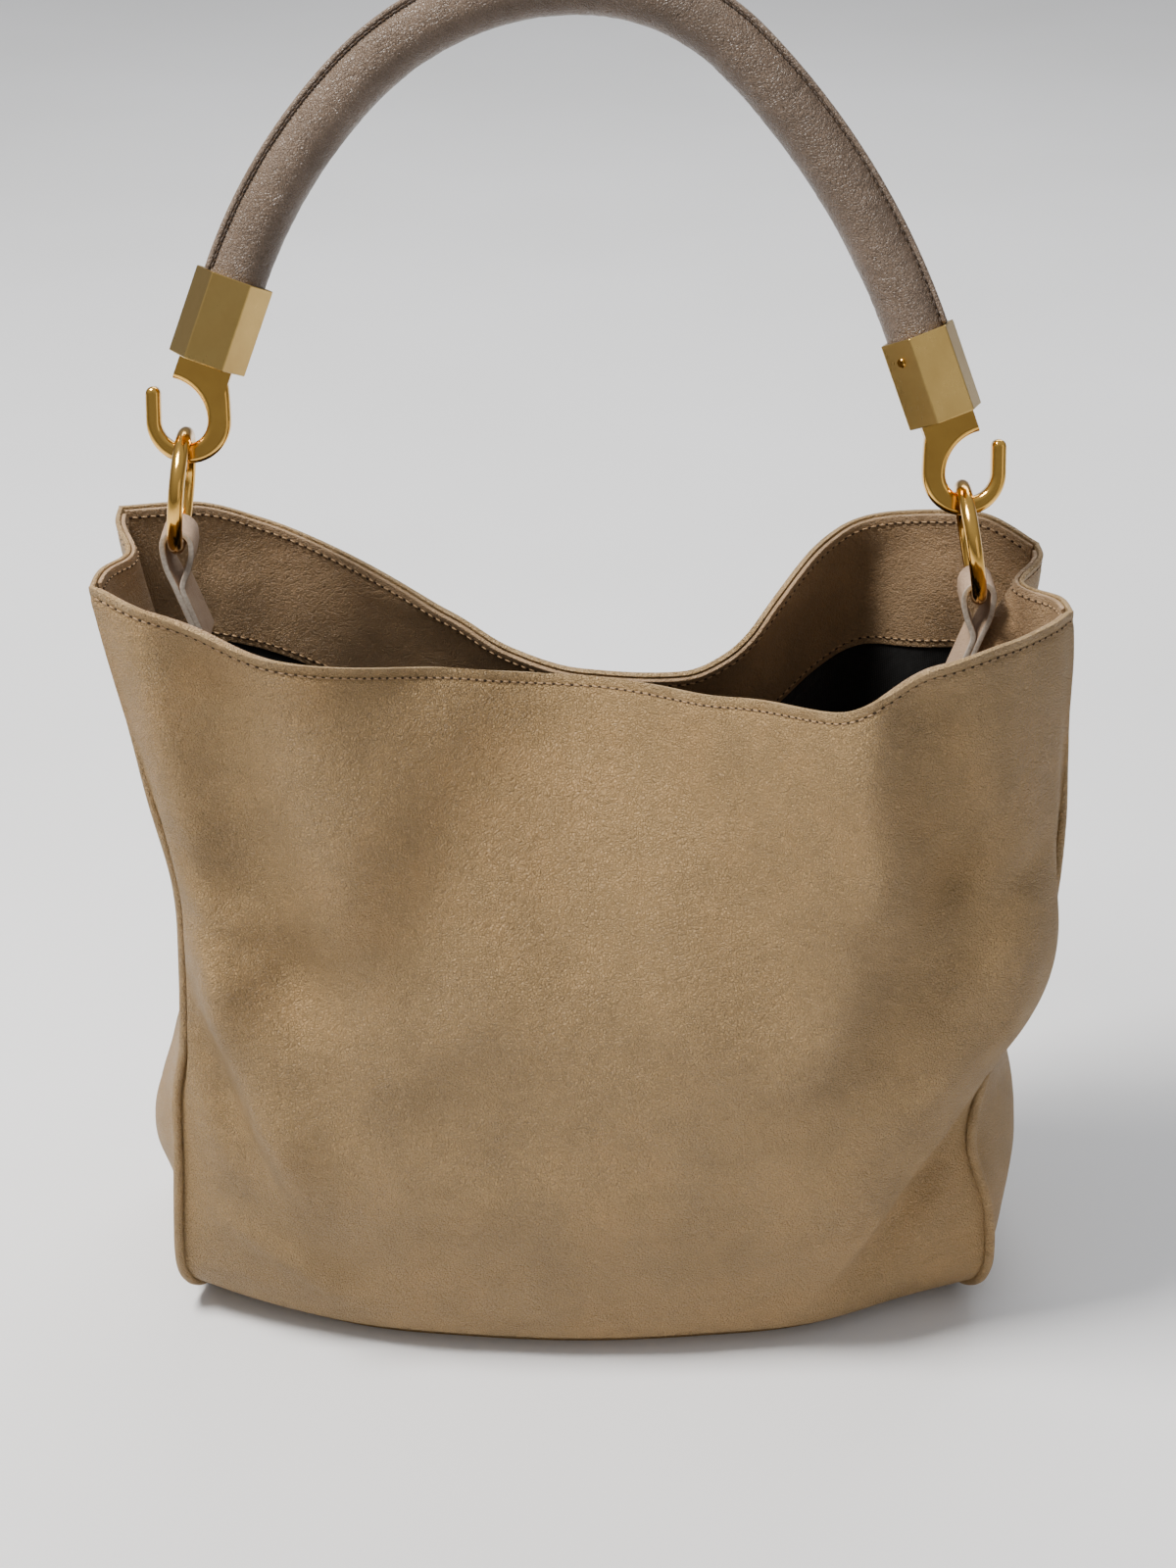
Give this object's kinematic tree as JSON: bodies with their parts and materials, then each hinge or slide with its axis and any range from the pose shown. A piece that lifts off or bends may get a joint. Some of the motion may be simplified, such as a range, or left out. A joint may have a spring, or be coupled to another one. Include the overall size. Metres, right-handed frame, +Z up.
{
  "type": "leather shoulder handbag",
  "caption": "Slouchy scoop-mouthed leather shoulder bag with folded side panels and a rolled handle hung from metal rings by open hooks and hexagonal ferrules.",
  "frame": {"origin": "on the floor under the middle of the bag's base", "axes": "+X to the wearer's right across the bag, +Y to the back of the bag, +Z up"},
  "size_m": [0.3844, 0.1706, 0.5533],
  "materials": {
    "tan_leather": "soft pebbled grain",
    "facing_leather": "matt",
    "tab_leather": "satin, raw edges",
    "handle_leather": "soft sheen",
    "gold_metal": "polished",
    "satin_gold_metal": "satin",
    "black_textile": "matt",
    "board": "matt",
    "cord_filling": "matt"
  },
  "bodies": {
    "bag": {"front_panel": "tan_leather", "back_panel": "tan_leather", "left_gusset": "tan_leather", "right_gusset": "tan_leather", "base_panel": "tan_leather", "left_piping": "tan_leather", "right_piping": "tan_leather", "front_facing": "facing_leather", "back_facing": "facing_leather", "left_gusset_facing": "facing_leather", "right_gusset_facing": "facing_leather", "left_tab": "tab_leather", "right_tab": "tab_leather", "left_lining": "black_textile", "right_lining": "black_textile", "front_lining": "black_textile", "back_lining": "black_textile", "base_lining": "black_textile", "base_board": "board"},
    "left_ring": {"left_ring": "gold_metal"},
    "right_ring": {"right_ring": "gold_metal"},
    "handle": {"handle_core": "cord_filling", "handle_cover": "handle_leather", "handle_welt": "handle_leather", "left_hook": "gold_metal", "left_ferrule": "satin_gold_metal", "left_ferrule_pin": "gold_metal", "left_hook_nut": "gold_metal", "right_hook": "gold_metal", "right_ferrule": "satin_gold_metal", "right_ferrule_pin": "gold_metal", "right_hook_nut": "gold_metal"}
  },
  "joints": [
    {"name": "handle_swing", "type": "hinge", "parent": "bag", "child": "handle", "pos_m": [-0.156, 0, 0.357], "axis": [0.9975, 0, -0.071], "range_deg": [-57, 93]},
    {"name": "left_ring_spin", "type": "hinge", "parent": "bag", "child": "left_ring", "pos_m": [-0.156, 0, 0.357], "axis": [0.9945, 0, -0.1045], "continuous": true},
    {"name": "right_ring_spin", "type": "hinge", "parent": "bag", "child": "right_ring", "pos_m": [0.153, 0, 0.335], "axis": [0.9848, 0, 0.1736], "continuous": true}
  ]
}
